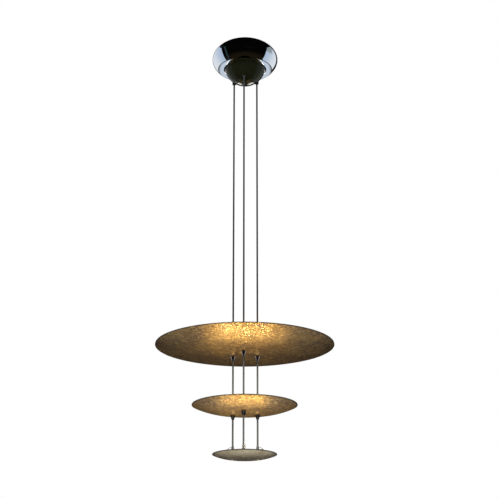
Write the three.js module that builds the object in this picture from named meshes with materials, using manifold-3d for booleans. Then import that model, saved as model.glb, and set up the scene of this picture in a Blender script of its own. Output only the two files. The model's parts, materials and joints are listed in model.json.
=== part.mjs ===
// Pendant lamp: a polished ceiling canopy, three parallel rods and three shallow spun dishes.
// Low-voltage capsule bulbs in the middle and the small dish light the dish above them.
// Millimetres, +Z up, the origin on the ceiling at the middle of the ceiling plate, the viewer at -Y.
import * as THREE from "three";
import { mergeVertices } from "three/addons/utils/BufferGeometryUtils.js";
import Module from "manifold-3d";

const wasm = await Module();
wasm.setup();

// Driving dimensions
const bigRadius = 300;
const bigSag = 28.7;
const middleRadius = 175;
const middleSag = 27.1;
const smallRadius = 106;
const smallSag = 15;
const dishFlatness = 3; // 2 gives an even curve, more keeps the curve out by the rim
const dishSheet = 1.6;
const ceilingToBigRim = 1121;
const bigRimToMiddleRim = 201.6;
const middleRimToSmallRim = 162.6;
const rodRadius = 3;
const rodCircleRadius = 47.5;
const seatGap = 0.3; // parts one touching piece from the next
const looseGap = 0.6; // parts pieces that pass each other freely
const cutOverrun = 2; // how far a cut runs past what it cuts

// Directions round the axis
const frontRodTurn = THREE.MathUtils.degToRad(-94.3);
const third = (2 * Math.PI) / 3;
const rods = [
  { name: "front", turn: frontRodTurn },
  { name: "right", turn: frontRodTurn + third },
  { name: "left", turn: frontRodTurn + 2 * third },
];

// Rim heights
const bigRimZ = -ceilingToBigRim;
const middleRimZ = bigRimZ - bigRimToMiddleRim;
const smallRimZ = middleRimZ - middleRimToSmallRim;

// Finishes
const finish = (color, roughness, metalness) =>
  new THREE.MeshStandardMaterial({ color, roughness, metalness });
const chrome = finish(0xd8dcde, 0.05, 1);
const polishedSteel = finish(0xb9b6b0, 0.2, 1);
const darkSteel = finish(0x4a4c4b, 0.4, 1);
const zincSteel = finish(0x9a9c9c, 0.45, 1);
const goldLeaf = finish(0x8d6a2e, 0.45, 0.8);
const agedLeaf = finish(0x8a8068, 0.6, 0.5);
const porcelain = finish(0xe8e4d8, 0.35, 0);
const laminate = finish(0x3a2d22, 0.6, 0);
const blackRubber = finish(0x1c1c1c, 0.9, 0);
const windingTape = finish(0xc9b458, 0.6, 0);
const tinnedWire = finish(0xb8a88c, 0.35, 0.9);
const clearGlass = finish(0xe6eef2, 0.05, 0);
clearGlass.transparent = true;
clearGlass.opacity = 0.4;

const group = new THREE.Group();

function place(name, geometry, material) {
  const mesh = new THREE.Mesh(geometry, material);
  mesh.name = name;
  group.add(mesh);
  return mesh;
}

// A geometry as a solid, and back
function solid(geometry) {
  const bare = geometry.clone();
  bare.deleteAttribute("normal");
  bare.deleteAttribute("uv");
  const merged = mergeVertices(bare);
  return new wasm.Manifold(
    new wasm.Mesh({
      numProp: 3,
      vertProperties: merged.attributes.position.array,
      triVerts: new Uint32Array(merged.index.array),
    }),
  );
}

function shape(body) {
  const mesh = body.getMesh();
  const geometry = new THREE.BufferGeometry();
  geometry.setAttribute("position", new THREE.BufferAttribute(new Float32Array(mesh.vertProperties), 3));
  geometry.setIndex(new THREE.BufferAttribute(new Uint32Array(mesh.triVerts), 1));
  geometry.computeVertexNormals();
  return geometry;
}

const join = (pieces) => pieces.map(solid).reduce((all, piece) => all.add(piece));
const drill = (body, tools) => tools.map(solid).reduce((left, tool) => left.subtract(tool), body);
const cut = (body, tools) => drill(solid(body), tools);

// Twice the area of an outline, negative where it runs clockwise
const windingOf = (points) =>
  points.reduce((sum, [r, z], i) => {
    const [nextR, nextZ] = points[(i + 1) % points.length];
    return sum + r * nextZ - nextR * z;
  }, 0);

// A piece turned round the Z axis from its half section [radius, z]
function turned(section, sides, ringLike = false) {
  const ordered = windingOf(section) > 0 ? section : [...section].reverse();
  const closed = ringLike ? [...ordered, ordered[0]] : startOnAxis(ordered);
  const lathe = new THREE.LatheGeometry(closed.map(([r, z]) => new THREE.Vector2(r, z)), sides);
  return lathe.rotateX(Math.PI / 2);
}

// The same outline begun where it leaves the axis
function startOnAxis(points) {
  const before = (i) => points[(i + points.length - 1) % points.length];
  const start = points.findIndex(([r], i) => r === 0 && before(i)[0] === 0);
  return [...points.slice(start), ...points.slice(0, start)];
}

const turnedRing = (section, sides) => turned(section, sides, true);

// The section of a bent sheet, half of its thickness on each side of a path
function sheetSection(path, thickness) {
  const side = (sign) =>
    path.map(([r, z], i) => {
      const before = path[Math.max(i - 1, 0)];
      const after = path[Math.min(i + 1, path.length - 1)];
      const run = after[0] - before[0];
      const rise = after[1] - before[1];
      const reach = (sign * thickness) / 2 / Math.hypot(run, rise);
      return [r === 0 ? 0 : r + rise * reach, z - run * reach];
    });
  return [...side(1), ...side(-1).reverse()];
}

// Points round an arc of the XZ plane, each end included
function arc(centreR, centreZ, radiusR, radiusZ, from, to, steps) {
  const points = [];
  for (let i = 0; i <= steps; i++) {
    const angle = from + ((to - from) * i) / steps;
    points.push([centreR + radiusR * Math.cos(angle), centreZ + radiusZ * Math.sin(angle)]);
  }
  return points;
}

function post(radius, lowZ, highZ, x, y, sides) {
  const cylinder = new THREE.CylinderGeometry(radius, radius, highZ - lowZ, sides);
  return cylinder.rotateX(Math.PI / 2).translate(x, y, (lowZ + highZ) / 2);
}

const onCircle = (radius, turn) => [radius * Math.cos(turn), radius * Math.sin(turn)];

// One post at each rod
const rodPosts = (radius, lowZ, highZ, sides) =>
  rods.map(({ turn }) => post(radius, lowZ, highZ, ...onCircle(rodCircleRadius, turn), sides));

// The same geometry set at each rod
function atRods(prefix, suffix, geometry, material) {
  for (const { name, turn } of rods) {
    const [x, y] = onCircle(rodCircleRadius, turn);
    place(prefix + name + suffix, geometry.clone().translate(x, y, 0), material);
  }
}

// The dishes: shallow spun sheet, nearly flat in the middle, with a hole at each rod
const dishRings = 6;
const dishRingSpread = 0.6;
const bigDishSides = 48;
const middleDishSides = 40;
const smallDishSides = 32;
const rodHolePlay = 1.5;
const holeSides = 14;
const endScrewShank = 1.9;
const bigDish = dishForm(bigRadius, bigSag, bigRimZ, bigDishSides);
const middleDish = dishForm(middleRadius, middleSag, middleRimZ, middleDishSides);
const smallDish = dishForm(smallRadius, smallSag, smallRimZ, smallDishSides);

function dishForm(radius, sag, rimZ, sides) {
  return { radius, sag, rimZ, sides };
}

// The dish's tilt and its height a distance inside its underside, at a radius
function dishTilt(form, radius) {
  const rise = form.sag * dishFlatness * (radius / form.radius) ** (dishFlatness - 1);
  return Math.atan(rise / form.radius);
}

function dishZ(form, radius, inset) {
  const depth = form.sag * (1 - (radius / form.radius) ** dishFlatness);
  return form.rimZ - depth + inset / Math.cos(dishTilt(form, radius));
}

const undersideZ = (form, radius) => dishZ(form, radius, 0);
const insideZ = (form, radius) => dishZ(form, radius, dishSheet);

// The dish's line from the axis out, a distance inside its underside
function dishLine(form, inset) {
  const points = [];
  for (let i = 0; i <= dishRings; i++) {
    const radius = form.radius * (i / dishRings) ** dishRingSpread;
    const tilt = dishTilt(form, radius);
    points.push([radius - inset * Math.sin(tilt), undersideZ(form, radius) + inset * Math.cos(tilt)]);
  }
  return points;
}

// All the space over the underside, and all the space under the inside, each with its clearance
function spaceAbove(form) {
  const above = form.rimZ + form.sag;
  return turned([...dishLine(form, -seatGap), [form.radius, above], [0, above]], form.sides);
}

function spaceBelow(form) {
  const below = form.rimZ - 2 * form.sag;
  const inside = dishLine(form, dishSheet + seatGap).reverse();
  return turned([[0, below], [form.radius, below], ...inside], form.sides);
}

function makeDish(name, form, holeRadius, material) {
  const section = [...dishLine(form, 0), ...dishLine(form, dishSheet).reverse()];
  const holes = rodPosts(holeRadius, form.rimZ - form.sag - cutOverrun, form.rimZ, holeSides);
  place(name, shape(cut(turned(section, form.sides), holes)), material);
}

makeDish("big_dish", bigDish, rodRadius + rodHolePlay, goldLeaf);
makeDish("middle_dish", middleDish, rodRadius + rodHolePlay, goldLeaf);
makeDish("small_dish", smallDish, endScrewShank + seatGap, agedLeaf);

// Canopy sizes, which the ceiling plate's follow
const canopyCeilingGap = 1;
const canopyRadius = 117.6;
const canopyHalfHeight = 68.6;
const canopyMouthRadius = 72.5;
const canopySheet = 1.5;
const mouthPlay = 6;
const canopyTopRise = canopyHalfHeight * Math.sqrt(1 - (canopyMouthRadius / canopyRadius) ** 2);

// Ceiling plate, hanging stud and transformer
const ceilingPlateRadius = canopyMouthRadius - canopySheet - mouthPlay;
const ceilingPlateThickness = 4;
const ceilingPlateSides = 36;
const screwSlotInset = 12;
const screwSlotHalfLength = 5;
const screwSlotRadius = 2.7;
const cableHoleRadius = 6;
const cableHoleInset = 15;
const studRadius = 5;
const studSides = 14;
const studSocketDepth = 2.5;
const studTail = 4;
const studNutAcross = 19;
const studNutHeight = 8;
const padRadius = 38;
const padThickness = 2;
const coreRadius = 38;
const coreBore = 12;
const coreHeight = 28;
const coreRounding = 7;
const coreSides = 20;
const cornerSteps = 2;

const upperPadZ = -ceilingPlateThickness - seatGap;
const coreZ = upperPadZ - padThickness - seatGap;
const lowerPadZ = coreZ - coreHeight - seatGap;
const rodPlateZ = lowerPadZ - padThickness - seatGap;

function ring(bore, radius, lowZ, highZ, sides) {
  return turnedRing([[bore, lowZ], [radius, lowZ], [radius, highZ], [bore, highZ]], sides);
}

function screwSlot(turn) {
  const outline = new THREE.Shape();
  outline.absarc(0, screwSlotHalfLength, screwSlotRadius, 0, Math.PI, false);
  outline.absarc(0, -screwSlotHalfLength, screwSlotRadius, Math.PI, 2 * Math.PI, false);
  const depth = ceilingPlateThickness + 2 * cutOverrun;
  const slot = new THREE.ExtrudeGeometry(outline, {
    depth,
    bevelEnabled: false,
    curveSegments: cornerSteps,
  });
  const lowZ = -ceilingPlateThickness - cutOverrun;
  return slot.translate(ceilingPlateRadius - screwSlotInset, 0, lowZ).rotateZ(turn);
}

function makeCeilingPlate() {
  const disc = post(ceilingPlateRadius, -ceilingPlateThickness, 0, 0, 0, ceilingPlateSides);
  const lowZ = -ceilingPlateThickness - cutOverrun;
  const socket = post(studRadius + seatGap, lowZ, studSocketDepth - ceilingPlateThickness, 0, 0, studSides);
  const cableHoleY = cableHoleInset - ceilingPlateRadius;
  const cableHole = post(cableHoleRadius, lowZ, cutOverrun, 0, cableHoleY, holeSides);
  const plate = cut(disc, [socket, screwSlot(0), screwSlot(Math.PI), cableHole]);
  place("ceiling_plate", shape(plate), zincSteel);
}

function makeTransformer() {
  const lowZ = coreZ - coreHeight;
  const corner = (r, z, from) =>
    arc(r, z, coreRounding, coreRounding, from, from + Math.PI / 2, cornerSteps);
  const section = [
    ...corner(coreBore + coreRounding, lowZ + coreRounding, Math.PI),
    ...corner(coreRadius - coreRounding, lowZ + coreRounding, 1.5 * Math.PI),
    ...corner(coreRadius - coreRounding, coreZ - coreRounding, 0),
    ...corner(coreBore + coreRounding, coreZ - coreRounding, Math.PI / 2),
  ];
  const bore = studRadius + looseGap;
  place("ring_transformer", turnedRing(section, coreSides), windingTape);
  place("upper_pad", ring(bore, padRadius, upperPadZ - padThickness, upperPadZ, coreSides), blackRubber);
  place("lower_pad", ring(bore, padRadius, lowerPadZ - padThickness, lowerPadZ, coreSides), blackRubber);
}

makeCeilingPlate();
makeTransformer();

// Rod plate of insulating board, its nuts, and the rods that hang from it
const rodPlateThickness = 5;
const rodPlateHalfWidth = 8;
const rodThread = 2.5;
const rodThreadRise = 6;
const rodNutAcross = 9.2;
const rodNutHeight = 4;
const rodSides = 12;
const hexagonSides = 6;
const armEndSteps = 6;
const rodEndBore = endScrewShank + seatGap;
const rodEndBoreDepth = 9;

const rodShoulderZ = rodPlateZ - rodPlateThickness - seatGap;
const rodFootZ = insideZ(smallDish, rodCircleRadius + rodRadius) + seatGap;

// A bar from the axis out to a round end, flat under a height
function arm(reach, turn, halfWidth, thickness, topZ) {
  const outline = new THREE.Shape();
  outline.moveTo(0, -halfWidth);
  outline.lineTo(reach, -halfWidth);
  outline.absarc(reach, 0, halfWidth, -Math.PI / 2, Math.PI / 2, false);
  outline.lineTo(0, halfWidth);
  const bar = new THREE.ExtrudeGeometry(outline, {
    depth: thickness,
    bevelEnabled: false,
    curveSegments: armEndSteps,
  });
  return bar.rotateZ(turn).translate(0, 0, topZ - thickness);
}

function hexNut(across, height, bore, topZ) {
  const hexagon = post(across / 2, topZ - height, topZ, 0, 0, hexagonSides);
  const hole = post(bore, topZ - height - cutOverrun, topZ + cutOverrun, 0, 0, studSides);
  return shape(cut(hexagon, [hole]));
}

// An arm to each rod
const rodArms = (halfWidth, thickness, topZ) =>
  rods.map(({ turn }) => arm(rodCircleRadius, turn, halfWidth, thickness, topZ));

function makeRodPlate() {
  const arms = rodArms(rodPlateHalfWidth, rodPlateThickness, rodPlateZ);
  const lowZ = rodPlateZ - rodPlateThickness - cutOverrun;
  const holes = [
    ...rodPosts(rodThread + seatGap, lowZ, rodPlateZ + cutOverrun, holeSides),
    post(studRadius + seatGap, lowZ, rodPlateZ + cutOverrun, 0, 0, holeSides),
  ];
  place("rod_plate", shape(drill(join(arms), holes)), laminate);
}

function makeHangingNuts() {
  const studNutZ = rodPlateZ - rodPlateThickness - seatGap;
  const studTopZ = studSocketDepth - ceilingPlateThickness - seatGap;
  const studTailZ = studNutZ - studNutHeight - studTail;
  place("centre_stud", post(studRadius, studTailZ, studTopZ, 0, 0, studSides), zincSteel);
  place("stud_nut", hexNut(studNutAcross, studNutHeight, studRadius + seatGap, studNutZ), zincSteel);
  const nutTopZ = rodPlateZ + seatGap + rodNutHeight;
  atRods("", "_rod_nut", hexNut(rodNutAcross, rodNutHeight, rodThread + seatGap, nutTopZ), zincSteel);
}

function makeRods() {
  const section = [
    [0, rodFootZ + rodEndBoreDepth],
    [rodEndBore, rodFootZ + rodEndBoreDepth],
    [rodEndBore, rodFootZ],
    [rodRadius, rodFootZ],
    [rodRadius, rodShoulderZ],
    [rodThread, rodShoulderZ],
    [rodThread, rodPlateZ + rodThreadRise],
    [0, rodPlateZ + rodThreadRise],
  ];
  atRods("", "_rod", turned(section, rodSides), darkSteel);
}

makeRodPlate();
makeHangingNuts();
makeRods();

// Terminal block under the ceiling plate, behind the transformer
const terminalLength = 34;
const terminalDepth = 15;
const terminalHeight = 13;
const terminalWays = 3;
const terminalWell = 2;
const terminalWellDepth = 4;
const terminalClearance = 2;

function makeTerminalBlock() {
  const topZ = -ceilingPlateThickness - seatGap;
  const lowZ = topZ - terminalHeight;
  const y = coreRadius + terminalClearance + terminalDepth / 2;
  const block = new THREE.BoxGeometry(terminalLength, terminalDepth, terminalHeight);
  const wells = [];
  for (let i = 0; i < terminalWays; i++) {
    const x = ((i - (terminalWays - 1) / 2) / terminalWays) * terminalLength;
    wells.push(post(terminalWell, lowZ - cutOverrun, lowZ + terminalWellDepth, x, y, holeSides));
  }
  place("terminal_block", shape(cut(block.translate(0, y, (topZ + lowZ) / 2), wells)), porcelain);
}
makeTerminalBlock();

// Canopy: a bun-shaped cover open at the top, with a ball-shaped bowl hung in the recess below
const canopyLipFall = 38;
const canopyLipRounding = 2.5;
const canopyRimRise = 4;
const canopyRimWidth = 6;
const recessPlay = 1.2;
const canopySides = 40;
const canopySteps = 6;
const lipSteps = 3;
const ballRadius = 74.4;
const ballDrop = 23;
const ballSides = 32;
const ballSteps = 8;
const glandRadius = 6.8;
const glandNeck = 4.9;
const glandFall = 2.5;
const glandRise = 9;
const glandSides = 14;
const rodBore = rodRadius + seatGap;

const canopyWallRadius = ballRadius + recessPlay;
const canopyRimRadius = canopyWallRadius - canopyRimWidth;
const canopyWidestZ = -canopyCeilingGap - canopyTopRise;
const ballCentreZ = canopyWidestZ - ballDrop;
const ballFlangeZ = canopyWidestZ + canopyRimRise - canopySheet - seatGap;

// The cover's path: down its round outside, round the lip, in along its flat underside,
// up the recess wall and over the bowl's flange
function canopyPath() {
  const across = canopyRadius - canopySheet / 2;
  const high = canopyHalfHeight - canopySheet / 2;
  const fromAngle = Math.asin(canopyTopRise / high);
  const toAngle = -Math.asin(canopyLipFall / high);
  const outside = arc(0, canopyWidestZ, across, high, fromAngle, toAngle, canopySteps);
  const [endR, endZ] = outside[outside.length - 1];
  const slope = Math.atan2((endZ - canopyWidestZ) / high ** 2, endR / across ** 2);
  const rounding = canopyLipRounding;
  const lipR = endR - rounding * Math.cos(slope);
  const lipZ = endZ - rounding * Math.sin(slope);
  const lip = arc(lipR, lipZ, rounding, rounding, slope, -Math.PI / 2, lipSteps).slice(1);
  const lowZ = lipZ - rounding;
  const rimZ = canopyWidestZ + canopyRimRise;
  const recess = [
    [canopyWallRadius + canopySheet, lowZ],
    [canopyWallRadius, lowZ + canopySheet],
    [canopyWallRadius, rimZ - canopySheet],
    [canopyWallRadius - canopySheet, rimZ],
    [canopyRimRadius, rimZ],
  ];
  return [...outside, ...lip, ...recess];
}

const ballMid = ballRadius - canopySheet / 2;
const ballTopAngle = Math.asin((ballFlangeZ - ballCentreZ) / ballMid);

function ballArc(radius) {
  const points = arc(0, ballCentreZ, radius, radius, -Math.PI / 2, ballTopAngle, ballSteps);
  points[0][0] = 0;
  return points;
}

function makeCanopy() {
  place("canopy_cover", turnedRing(sheetSection(canopyPath(), canopySheet), canopySides), chrome);
  const flangeRadius = canopyWallRadius - canopySheet - looseGap;
  const bowl = sheetSection([...ballArc(ballMid), [flangeRadius, ballFlangeZ]], canopySheet);
  const holes = rodPosts(glandNeck + seatGap, ballCentreZ - ballRadius, ballCentreZ, glandSides);
  place("canopy_bowl", shape(cut(turned(bowl, ballSides), holes)), chrome);
}

// Glands: a button seated on the outside of the bowl, with a neck through its hole
function makeGlands() {
  const holeZ = ballCentreZ - Math.sqrt(ballRadius ** 2 - rodCircleRadius ** 2);
  const buttonZ = holeZ - Math.tan(Math.asin(rodCircleRadius / ballRadius)) * glandRadius / 2 - glandFall;
  const neckZ = holeZ + glandRise;
  const ballTopZ = ballCentreZ + ballRadius * Math.sin(ballTopAngle);
  const ball = turned([...ballArc(ballRadius + seatGap), [0, ballTopZ]], ballSides);
  const button = ring(rodBore, glandRadius, buttonZ, neckZ, glandSides);
  const neck = ring(rodBore, glandNeck, buttonZ, neckZ, glandSides);
  for (const { name, turn } of rods) {
    const [x, y] = onCircle(rodCircleRadius, turn);
    const seated = cut(button.clone().translate(x, y, 0), [ball]);
    place(name + "_canopy_gland", shape(seated.add(solid(neck.clone().translate(x, y, 0)))), polishedSteel);
  }
}

makeCanopy();
makeGlands();

// Cone collars that carry a dish from below, their wide end shaped to the dish
const coneRadius = 8.5;
const coneTip = 4.2;
const coneRim = 3;
const coneHeight = 17;
const coneSides = 16;

function makeCones(prefix, form) {
  const seatZ = undersideZ(form, rodCircleRadius);
  const section = [
    [rodBore, seatZ - coneHeight],
    [coneTip, seatZ - coneHeight],
    [coneRadius, seatZ - coneRim],
    [coneRadius, seatZ + coneRim],
    [rodBore, seatZ + coneRim],
  ];
  const cone = turnedRing(section, coneSides);
  for (const { name, turn } of rods) {
    const standing = cone.clone().translate(...onCircle(rodCircleRadius, turn), 0);
    place(prefix + name + "_cone", shape(cut(standing, [spaceAbove(form)])), polishedSteel);
  }
}
makeCones("big_", bigDish);
makeCones("middle_", middleDish);

// End screws through the small dish into the rods, their low heads shaped to its underside
const endScrewHead = 4.6;
const endScrewHeadHeight = 1.8;
const endScrewReach = 8;
const endScrewSides = 14;

function makeEndScrews() {
  const seatZ = undersideZ(smallDish, rodCircleRadius);
  const headSection = [
    [0, seatZ - endScrewHeadHeight],
    [endScrewHead / 2, seatZ - endScrewHeadHeight],
    [endScrewHead, seatZ],
    [endScrewHead, seatZ + endScrewHeadHeight],
    [0, seatZ + endScrewHeadHeight],
  ];
  const head = turned(headSection, endScrewSides);
  const lowZ = seatZ - endScrewHeadHeight / 2;
  for (const { name, turn } of rods) {
    const [x, y] = onCircle(rodCircleRadius, turn);
    const shank = post(endScrewShank, lowZ, rodFootZ + endScrewReach, x, y, endScrewSides);
    const seated = cut(head.clone().translate(x, y, 0), [spaceAbove(smallDish)]);
    place("small_" + name + "_end_screw", shape(seated.add(solid(shank))), agedLeaf);
  }
}
makeEndScrews();

// Bulb holders and bulbs, drawn standing on z 0
const holderWidth = 15;
const holderHeight = 14;
const holderRounding = 3;
const holderLength = 10;
const pinSpacing = 6.35;
const pinRadius = 0.6;
const pinLength = 7;
const pinSides = 8;
const sealWidth = 9.5;
const sealThickness = 4;
const sealLength = 6;
const bulbRadius = 6.7;
const bulbLength = 27;
const bulbNeckShare = 0.55;
const bulbSides = 10;
const bulbDomeSteps = 3;

const twoPins = (radius, lowZ, highZ) =>
  [-1, 1].map((side) => post(radius, lowZ, highZ, 0, (side * pinSpacing) / 2, pinSides));

function holderGeometry() {
  const halfHeight = holderHeight / 2;
  const halfWidth = holderWidth / 2;
  const round = holderRounding;
  const outline = new THREE.Shape();
  outline.moveTo(halfHeight, -halfWidth);
  outline.lineTo(halfHeight, halfWidth);
  outline.absarc(round - halfHeight, halfWidth - round, round, Math.PI / 2, Math.PI, false);
  outline.absarc(round - halfHeight, round - halfWidth, round, Math.PI, 1.5 * Math.PI, false);
  const block = new THREE.ExtrudeGeometry(outline, {
    depth: holderLength,
    bevelEnabled: false,
    curveSegments: cornerSteps,
  });
  const floorZ = holderLength - pinLength - seatGap;
  const topZ = holderLength + cutOverrun;
  return shape(cut(block, twoPins(pinRadius + seatGap, floorZ, topZ)));
}

function bulbGeometry() {
  const neckRise = bulbRadius * bulbNeckShare;
  const dome = arc(0, bulbLength - bulbRadius, bulbRadius, bulbRadius, 0, Math.PI / 2, bulbDomeSteps);
  dome[bulbDomeSteps][0] = 0;
  const floorZ = sealLength - neckRise / 2;
  const section = [[0, floorZ], [neckRise, floorZ], [bulbRadius, sealLength + neckRise], ...dome];
  const capsule = turned(section, bulbSides);
  const seal = new THREE.BoxGeometry(sealThickness, sealWidth, sealLength);
  const pins = twoPins(pinRadius, seatGap / 2 - pinLength, sealLength / 2);
  return shape(join([capsule, seal.translate(0, 0, sealLength / 2), ...pins]));
}

// Lamp carriers: an insulating board on bosses, with clamps and leads that feed it from two rods
const bossRadius = 6;
const bossHeight = 3;
const carrierThickness = 3;
const carrierHalfWidth = 8;
const carrierHole = 8;
const clampRadius = 6.5;
const clampTip = 3.9;
const clampBand = 6;
const clampHeight = 37;
const clampSides = 12;
const frontBulbClearance = 1;
const leadRadius = 0.9;
const leadCorners = 3;
const leadSteps = 12;
const leadDrop = 3;
const leadBulge = 13;
const leadCrest = 8;
const leadArch = 5;
const leadFallShare = 0.33;
const leadTurnShares = [0, 0.03, 0.15, 0.45, 0.85, 1];

// A lead from a clamp's tip, out round the rod and down onto a holder
function leadGeometry(fromTurn, toTurn, clampTopZ, holderTopZ, endReach) {
  const startZ = clampTopZ - leadDrop;
  const fall = startZ - holderTopZ;
  const startReach = rodCircleRadius + clampTip + looseGap;
  const wideReach = rodCircleRadius + leadBulge;
  const places = [
    [startReach, startZ],
    [(startReach + wideReach) / 2, startZ],
    [wideReach, startZ - fall * leadFallShare],
    [wideReach, holderTopZ + leadCrest],
    [(wideReach + endReach) / 2, holderTopZ + leadArch],
    [endReach, holderTopZ + seatGap + leadRadius],
  ];
  const points = places.map(([reach, z], i) => {
    const turn = fromTurn + (toTurn - fromTurn) * leadTurnShares[i];
    return new THREE.Vector3(...onCircle(reach, turn), z);
  });
  const curve = new THREE.CatmullRomCurve3(points);
  const wire = new THREE.Shape();
  wire.absarc(0, 0, leadRadius, 0, 2 * Math.PI, false);
  return new THREE.ExtrudeGeometry(wire, {
    steps: leadSteps,
    extrudePath: curve,
    curveSegments: leadCorners,
  });
}

// The two lamps that lie outwards, each fed from the clamp on its own rod
const [frontRod, rightRod, leftRod] = rods;
const lyingLamps = [
  { name: "right", rodTurn: rightRod.turn, lampTurn: rightRod.turn - third / 2 },
  { name: "left", rodTurn: leftRod.turn, lampTurn: leftRod.turn + third / 2 },
];

function makeCarrierBoard(prefix, form, lampReach, boardTopZ) {
  const lowZ = form.rimZ - form.sag;
  const lampArm = ({ lampTurn }) =>
    arm(lampReach, lampTurn, carrierHalfWidth, carrierThickness, boardTopZ);
  const board = join([
    ...rodArms(carrierHalfWidth, carrierThickness, boardTopZ),
    ...lyingLamps.map(lampArm),
    ...rodPosts(bossRadius, lowZ, boardTopZ - carrierThickness / 2, clampSides),
  ]);
  const holes = [
    ...rodPosts(rodBore, lowZ - cutOverrun, boardTopZ + cutOverrun, holeSides),
    post(carrierHole, lowZ - cutOverrun, boardTopZ + cutOverrun, 0, 0, holeSides),
    spaceBelow(form),
  ];
  place(prefix + "carrier", shape(drill(board, holes)), laminate);
}

function makeLamps(prefix, form, lampReach) {
  const boardTopZ = insideZ(form, rodCircleRadius) + bossHeight + carrierThickness;
  makeCarrierBoard(prefix, form, lampReach, boardTopZ);
  const seatZ = boardTopZ + seatGap;

  const uprightReach = rodCircleRadius - rodRadius - frontBulbClearance - holderHeight / 2;
  const stand = (geometry, z) => geometry.translate(uprightReach, 0, z).rotateZ(frontRod.turn);
  place(prefix + "front_holder", stand(holderGeometry(), seatZ), porcelain);
  place(prefix + "front_bulb", stand(bulbGeometry(), seatZ + holderLength + seatGap), clearGlass);

  const clampSection = [
    [rodBore, seatZ],
    [clampRadius, seatZ],
    [clampRadius, seatZ + clampBand],
    [clampTip, seatZ + clampHeight],
    [rodBore, seatZ + clampHeight],
  ];
  const clamp = turnedRing(clampSection, clampSides);
  const clampTopZ = seatZ + clampHeight;
  const holderTopZ = seatZ + holderHeight;
  const leadEnd = lampReach + holderLength / 2;
  const lampMidZ = seatZ + holderHeight / 2;
  for (const { name, rodTurn, lampTurn } of lyingLamps) {
    const lay = (geometry, reach) =>
      geometry.rotateY(Math.PI / 2).translate(reach, 0, lampMidZ).rotateZ(lampTurn);
    const clampPlace = onCircle(rodCircleRadius, rodTurn);
    const lead = leadGeometry(rodTurn, lampTurn, clampTopZ, holderTopZ, leadEnd);
    const bulb = lay(bulbGeometry(), lampReach + holderLength + seatGap);
    place(prefix + name + "_clamp", clamp.clone().translate(...clampPlace, 0), darkSteel);
    place(prefix + name + "_holder", lay(holderGeometry(), lampReach), porcelain);
    place(prefix + name + "_bulb", bulb, clearGlass);
    place(prefix + name + "_lead", lead, tinnedWire);
  }
}

const middleLampReach = 50;
const smallLampReach = 30;
makeLamps("middle_", middleDish, middleLampReach);
makeLamps("small_", smallDish, smallLampReach);

export default group;
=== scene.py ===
import json
import math

import bmesh
import bpy
from mathutils import Matrix, Vector

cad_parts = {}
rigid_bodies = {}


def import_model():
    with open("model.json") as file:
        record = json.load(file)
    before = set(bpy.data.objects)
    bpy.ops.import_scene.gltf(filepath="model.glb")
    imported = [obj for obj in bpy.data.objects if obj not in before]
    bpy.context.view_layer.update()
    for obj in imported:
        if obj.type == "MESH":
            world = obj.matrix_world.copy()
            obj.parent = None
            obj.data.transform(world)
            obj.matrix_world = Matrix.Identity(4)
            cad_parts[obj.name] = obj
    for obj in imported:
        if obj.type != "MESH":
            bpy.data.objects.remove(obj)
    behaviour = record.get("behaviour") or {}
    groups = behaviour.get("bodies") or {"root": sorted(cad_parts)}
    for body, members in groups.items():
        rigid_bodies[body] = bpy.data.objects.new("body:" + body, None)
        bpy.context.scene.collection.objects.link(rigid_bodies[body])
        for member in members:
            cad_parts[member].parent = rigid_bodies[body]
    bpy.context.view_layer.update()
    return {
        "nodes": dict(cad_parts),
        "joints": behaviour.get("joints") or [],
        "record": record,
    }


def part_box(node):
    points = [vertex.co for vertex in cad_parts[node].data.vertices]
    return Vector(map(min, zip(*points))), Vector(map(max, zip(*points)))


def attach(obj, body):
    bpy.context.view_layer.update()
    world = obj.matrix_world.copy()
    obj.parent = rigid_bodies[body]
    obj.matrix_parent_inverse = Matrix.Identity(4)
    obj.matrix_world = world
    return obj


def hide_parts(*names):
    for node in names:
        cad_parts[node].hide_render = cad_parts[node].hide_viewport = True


# Pendant lamp: mirror canopy, three rods, three leaf-gilt dishes lit by capsule bulbs.
# Metres, +Z up, the ceiling at z 0, the viewer on the -Y side.

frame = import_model()
nodes = frame["nodes"]
scene = bpy.context.scene
scene.view_settings.view_transform = "Standard"
bodyOf = {n: b for b, ns in frame["record"]["behaviour"]["bodies"].items() for n in ns}
slotOf = {p["node"]: p["material_slot"] for p in frame["record"]["subparts"]}


def centreOf(node):
    low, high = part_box(node)
    return ((low.x + high.x) / 2, (low.y + high.y) / 2)


def radiusOf(node):
    low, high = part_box(node)
    return (high.x - low.x) / 2


# Camera: before the lamp and below it, looking up
viewer = {"back": 4.0, "height": -2.138, "tilt": 18.77, "yaw": 0.205, "angle": 22.916}
cameraData = bpy.data.cameras.new("viewCamera")
cameraData.sensor_fit = "HORIZONTAL"
cameraData.angle = math.radians(viewer["angle"])
camera = bpy.data.objects.new("viewCamera", cameraData)
scene.collection.objects.link(camera)
camera.location = (0, -viewer["back"], viewer["height"])
camera.rotation_euler = (math.radians(90 + viewer["tilt"]), 0, -math.radians(viewer["yaw"]))
scene.camera = camera
print("camera set")


# Shader helpers
def srgb(red, green, blue):  # a colour as a picture shows it, each part 0 to 255
    def linear(v):
        v = v / 255
        return v / 12.92 if v <= 0.04045 else ((v + 0.055) / 1.055) ** 2.4
    return (linear(red), linear(green), linear(blue), 1.0)


class Value:  # a socket that sums and products work on
    def __init__(self, shade, socket):
        self.shade = shade
        self.socket = socket

    def __add__(self, other):
        return self.shade.maths("ADD", self, other)

    def __radd__(self, other):
        return self.shade.maths("ADD", other, self)

    def __sub__(self, other):
        return self.shade.maths("SUBTRACT", self, other)

    def __rsub__(self, other):
        return self.shade.maths("SUBTRACT", other, self)

    def __mul__(self, other):
        return self.shade.maths("MULTIPLY", self, other)

    def __rmul__(self, other):
        return self.shade.maths("MULTIPLY", other, self)


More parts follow.
